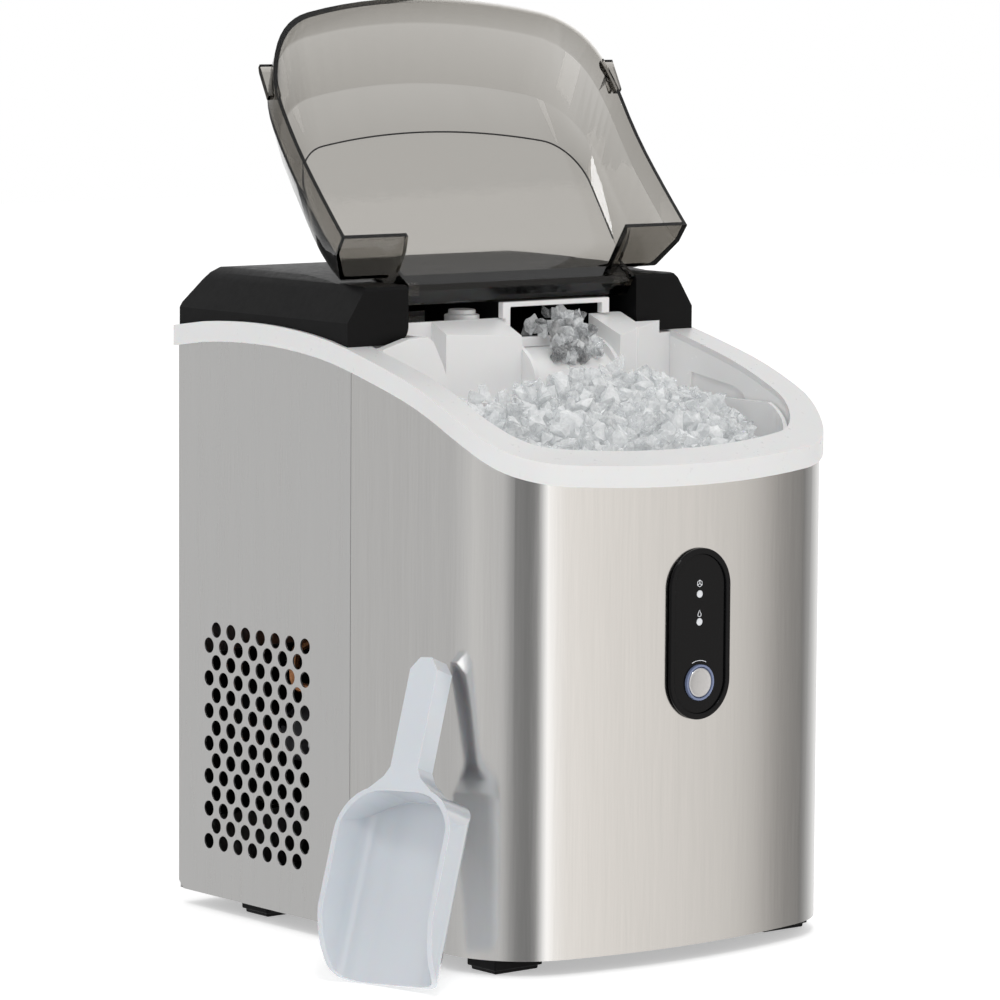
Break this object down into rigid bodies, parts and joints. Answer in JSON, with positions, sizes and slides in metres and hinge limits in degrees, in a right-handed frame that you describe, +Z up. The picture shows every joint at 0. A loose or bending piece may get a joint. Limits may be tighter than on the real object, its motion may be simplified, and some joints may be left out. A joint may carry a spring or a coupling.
{
  "type": "countertop ice maker",
  "caption": "Boxy countertop ice maker: smoked flip-up lid, sloping white bin rim, bowed steel front with a push button, vented steel sides, lift-out basket and a loose scoop.",
  "frame": {"origin": "on the ground under the middle of the cabinet", "axes": "+X to the right facing the control panel, -Y out of the front, +Z up"},
  "size_m": [0.2985, 0.2913, 0.4714],
  "materials": {
    "front_steel": "vertical brushed, clear-coated",
    "side_steel": "fine satin, warm grey",
    "white_plastic": "satin, slightly translucent",
    "bin_plastic": "satin white",
    "black_cover": "fine grained matt black",
    "smoked_plastic": "clear smoked, polished",
    "black_gloss": "polished piano black",
    "lamp": "frosted white",
    "ring_light": "frosted pale blue",
    "button_metal": "turned face",
    "stainless": "plain machined",
    "zinc_screw": "bright zinc",
    "dark_metal": "satin black paint",
    "motor_metal": "satin grey paint",
    "cast_housing": "as cast",
    "fin_aluminium": "bare sheet",
    "copper": "bare copper, drawn",
    "gear_plastic": "natural acetal",
    "insulation_foam": "cut foam",
    "black_foam": "closed-cell foam",
    "rubber_black": "moulded",
    "clear_hose": "clear silicone",
    "tank_plastic": "natural translucent",
    "float_plastic": "foamed",
    "circuit_board": "soldered board",
    "scoop_plastic": "translucent bluish white"
  },
  "bodies": {
    "cabinet": {"base_pan": "dark_metal", "feet": "rubber_black", "front_shell": "front_steel", "left_side_panel": "side_steel", "right_side_panel": "side_steel", "back_panel": "side_steel", "rim_trim": "white_plastic", "top_cover": "black_cover", "hinge_pins": "stainless", "bin_liner": "bin_plastic", "bin_insulation": "insulation_foam", "left_housing": "bin_plastic", "right_housing": "bin_plastic", "ice_chute": "bin_plastic", "outlet_frame": "bin_plastic", "sensor_cap": "bin_plastic", "ice_outlet_duct": "black_cover", "control_bezel": "black_gloss", "control_fascia": "black_gloss", "status_lamps": "lamp", "button_ring": "ring_light", "button_switch": "black_cover", "control_board": "circuit_board", "power_board": "circuit_board", "compressor": "dark_metal", "compressor_mounts": "rubber_black", "condenser": "fin_aluminium", "filter_drier": "copper", "copper_pipes": "copper", "fan_shroud": "black_cover", "fan_motor": "motor_metal", "evaporator": "stainless", "evaporator_jacket": "black_foam", "extruder_head": "stainless", "gear_housing": "cast_housing", "gear_motor": "motor_metal", "water_tank": "tank_plastic", "level_sensor": "float_plastic", "water_pump": "motor_metal", "water_hoses": "clear_hose", "drain_fitting": "black_cover", "power_inlet": "black_cover", "case_screws": "zinc_screw"},
    "lid": {"lid": "smoked_plastic"},
    "ice_basket": {"ice_basket": "bin_plastic"},
    "control_button": {"control_button": "button_metal"},
    "fan_rotor": {"fan_rotor": "black_cover"},
    "auger": {"auger": "stainless", "output_gear": "gear_plastic"},
    "idler": {"idler_gear": "gear_plastic"},
    "pinion": {"motor_pinion": "stainless"},
    "water_float": {"water_float": "float_plastic"},
    "drain_cap": {"drain_cap": "rubber_black"},
    "scoop": {"scoop": "scoop_plastic"}
  },
  "joints": [
    {"name": "lid_hinge", "type": "hinge", "parent": "cabinet", "child": "lid", "pos_m": [0, 0.0066, 0.3264], "axis": [-1, 0, 0], "range_deg": [-146.6, 0]},
    {"name": "basket_lift", "type": "slide", "parent": "cabinet", "child": "ice_basket", "axis": [0, 0, 1], "range_m": [0, 0.1]},
    {"name": "button_press", "type": "slide", "parent": "cabinet", "child": "control_button", "axis": [0, 1, 0], "range_m": [0, 0.0006], "stiffness_N_per_m": 800, "springref_m": -0.0002},
    {"name": "fan_spin", "type": "hinge", "parent": "cabinet", "child": "fan_rotor", "pos_m": [-0.055, 0.119, 0.088], "axis": [0, 1, 0], "continuous": true},
    {"name": "auger_spin", "type": "hinge", "parent": "cabinet", "child": "auger", "pos_m": [0.025, 0.038, 0.1], "axis": [0, 0, 1], "continuous": true},
    {"name": "idler_spin", "type": "hinge", "parent": "cabinet", "child": "idler", "pos_m": [0.04794, 0.02194, 0.048], "axis": [0, 0, 1], "continuous": true},
    {"name": "pinion_spin", "type": "hinge", "parent": "cabinet", "child": "pinion", "pos_m": [0.07194, 0.02194, 0.048], "axis": [0, 0, 1], "continuous": true},
    {"name": "float_rise", "type": "slide", "parent": "cabinet", "child": "water_float", "axis": [0, 0, 1], "range_m": [0, 0.03]},
    {"name": "drain_cap_pull", "type": "slide", "parent": "cabinet", "child": "drain_cap", "axis": [0, 1, 0], "range_m": [0, 0.03]},
    {"name": "scoop_lift", "type": "slide", "parent": "cabinet", "child": "scoop", "axis": [0, 0, 1], "range_m": [0, 0.15]}
  ],
  "couplings": [
    {"joint": "idler_spin", "follows": "auger_spin", "ratio": -3.6667},
    {"joint": "pinion_spin", "follows": "auger_spin", "ratio": 11}
  ]
}
